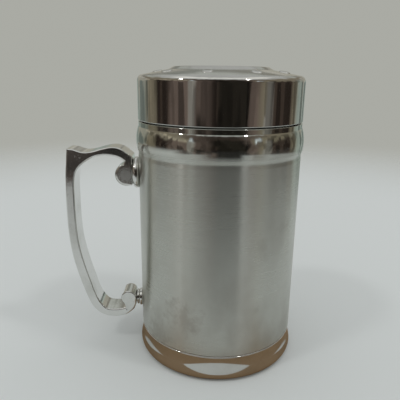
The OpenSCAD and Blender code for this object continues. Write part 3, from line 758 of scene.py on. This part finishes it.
# What stands round the mug, as (degrees from the room's front towards +X, colour): at eye level, above it and higher
WALLS = [
    (-180, PALE), (-132, PALE), (-122, KHAKI), (-106, KHAKI), (-98, DARK), (-84, DARK), (-78, BROWN),
    (-52, BROWN), (-49, STREAK), (-44, STREAK), (-40, BROWN), (-25, BROWN), (-16, DARK), (-11, BLACK),
    (25, BLACK), (32, BROWN), (38, BROWN), (49, KHAKI), (54, STREAK), (60, STREAK), (65, DARK), (96, DARK),
    (106, KHAKI), (118, PALE), (180, PALE),
]
UPPER = [
    (-180, HAZE), (-140, HAZE), (-118, SAND), (-56, SAND), (-49, TAN), (-47, GLARE), (-44, GLARE), (-41, BROWN),
    (-26, BROWN), (-16, BLACK), (22, BLACK), (30, BROWN), (39, KHAKI), (41, GLARE), (45, GLARE), (48, KHAKI),
    (100, KHAKI), (126, HAZE), (180, HAZE),
]
HIGH = [
    (-180, BACK), (-130, TAN), (-75, TAN), (-45, BROWN), (-20, DARK), (15, DARK), (30, BROWN), (70, TAN),
    (130, TAN), (180, BACK),
]
# The walls are broken into cells: how many to a radian sideways and upwards, and by how much each one's stops and
# edges are shifted, in turns and radians, and its colour made weaker or stronger
CELL_COUNT, CELL_SPREAD, CELL_SHIFT, CELL_GAIN = (9, 5), (-0.006, 0.006), (-0.07, 0.07), (0.5, 1.5)


class WorldNodes(Nodes):
    """The world's node tree, with the same calls as a material's."""

    def __init__(self, world):
        world.use_nodes = True
        self.tree = world.node_tree
        self.shader = self.tree.nodes["Background"]

    def round(self, value, stops):
        """Colours at their degrees along a value that goes from 0 to 1 round the axis."""
        node = self.add("ShaderNodeValToRGB")
        elements = node.color_ramp.elements
        while len(elements) < len(stops):
            elements.new(0.5)
        for element, (degrees, colour) in zip(elements, stops):
            element.position = 0.5 + degrees / 360
            element.color = colour + (1,)
        self.link(value, node.inputs["Fac"])
        return node.outputs["Color"]


def make_world():
    """A pale backdrop for the camera, and a room with a dark side for what the metal mirrors."""
    world = bpy.data.worlds.new("room")
    bpy.context.scene.world = world
    w = WorldNodes(world)
    x, y, z = w.axes(w.coords("Generated"))
    turn = w.azimuth(x, y)
    rise = w.math("ARCSINE", z)
    turns = w.plus(w.math("DIVIDE", turn, 2 * math.pi), 0.5)
    off_front = w.math("ABSOLUTE", turn)

    spot = w.add("ShaderNodeCombineXYZ")
    w.link(w.times(turn, CELL_COUNT[0]), spot.inputs["X"])
    w.link(w.times(rise, CELL_COUNT[1]), spot.inputs["Y"])
    cells = w.add("ShaderNodeTexVoronoi", distance="CHEBYCHEV", voronoi_dimensions="2D", Scale=1.0)
    w.link(spot.outputs["Vector"], cells.inputs["Vector"])
    cell = w.add("ShaderNodeSeparateColor")
    w.link(cells.outputs["Color"], cell.inputs["Color"])
    height = w.plus(rise, w.remap(cell.outputs["Red"], 0, 1, *CELL_SHIFT))
    spread = w.plus(turns, w.remap(cell.outputs["Green"], 0, 1, *CELL_SPREAD))
    gain = w.remap(cell.outputs["Blue"], 0, 1, *CELL_GAIN)

    def above(low, high):
        return w.past_angle(height, low, high)

    room = w.mix(above(8, 13), w.round(spread, WALLS), w.round(spread, UPPER))
    # A low dark stretch to the left, brown at its foot
    left = w.minus(w.past_angle(turn, -46, -36), w.past_angle(turn, -14, -8))
    deep = w.minus(1, w.past_angle(rise, -13, -11))
    room = w.mix(w.times(left, w.minus(1, above(-10, -7))), room, w.mix(deep, BLACK, BROWN))
    scaled = w.add("ShaderNodeVectorMath", operation="SCALE")
    w.link(room, scaled.inputs[0])
    w.link(gain, scaled.inputs["Scale"])
    room = w.mix(above(16, 20), scaled.outputs["Vector"], w.round(turns, HIGH))
    room = w.mix(above(30, 42), room, CEILING)
    # Bright bands behind the mug, and a soft light high up in front
    behind = w.past_angle(off_front, 110, 140)
    for low, high, colour in ((-1, 12, SHEEN), (25, 33, SKY)):
        band = w.minus(above(low, low + 4), above(high, high + 4))
        room = w.mix(w.times(behind, band), room, colour)
    band = w.times(above(46, 52), w.minus(1, above(62, 70)))
    width = w.minus(1, w.past_angle(off_front, 90, 130))
    room = w.mix(w.times(band, width), room, SOFTBOX)
    path = w.add("ShaderNodeLightPath")
    soft = w.mix(path.outputs["Is Glossy Ray"], AMBIENT, room)
    w.link(w.mix(path.outputs["Is Camera Ray"], soft, BACKDROP), w.shader.inputs["Color"])


LAMP_AIM = Vector((0, 0, 0.07))


def lamp(name, azimuth, height, distance, size, power, glint=False):
    """A lamp that faces the mug, placed in metres, its azimuth in degrees from the room's front towards +X.
    A glint shows in gloss alone."""
    data = bpy.data.lights.new(name, "AREA")
    data.shape = "DISK"
    data.size = size
    data.energy = power
    obj = bpy.data.objects.new(name, data)
    obj.location = around(azimuth, distance, height)
    obj.rotation_euler = (LAMP_AIM - obj.location).to_track_quat("-Z", "Y").to_euler()
    obj.visible_diffuse = not glint
    obj.visible_glossy = glint
    bpy.context.scene.collection.objects.link(obj)


make_floor()
make_world()
lamp("lamp_left", -64, 3.0, 1.8, 0.4, 8.8)
lamp("lamp_right", 60, 3.0, 1.8, 0.4, 8.8)
lamp("glint_left", -68, 0.8, 0.9, 0.08, 0.75, glint=True)
lamp("glint_right", 30, 0.8, 0.9, 0.08, 0.5, glint=True)

CAMERA_AT = Vector((-13.72, -225.92, 148.6))
CAMERA_FORWARD, CAMERA_UP = Vector((0.01644, 0.96083, -0.27664)), Vector((-0.00696, 0.27678, 0.96091))
SENSOR, LENS, NEAREST = 36, 38.47, 5
camera_data = bpy.data.cameras.new("camera")
camera_data.sensor_fit = "HORIZONTAL"
camera_data.sensor_width = SENSOR
camera_data.lens = LENS
camera_data.clip_start = NEAREST * MM
camera = bpy.data.objects.new("camera", camera_data)
axes = Matrix((CAMERA_FORWARD.cross(CAMERA_UP), CAMERA_UP, -CAMERA_FORWARD)).transposed()
camera.matrix_world = Matrix.Translation(CAMERA_AT * MM) @ axes.to_4x4()
bpy.context.scene.collection.objects.link(camera)
bpy.context.scene.camera = camera
bpy.context.scene.view_settings.view_transform = "Standard"
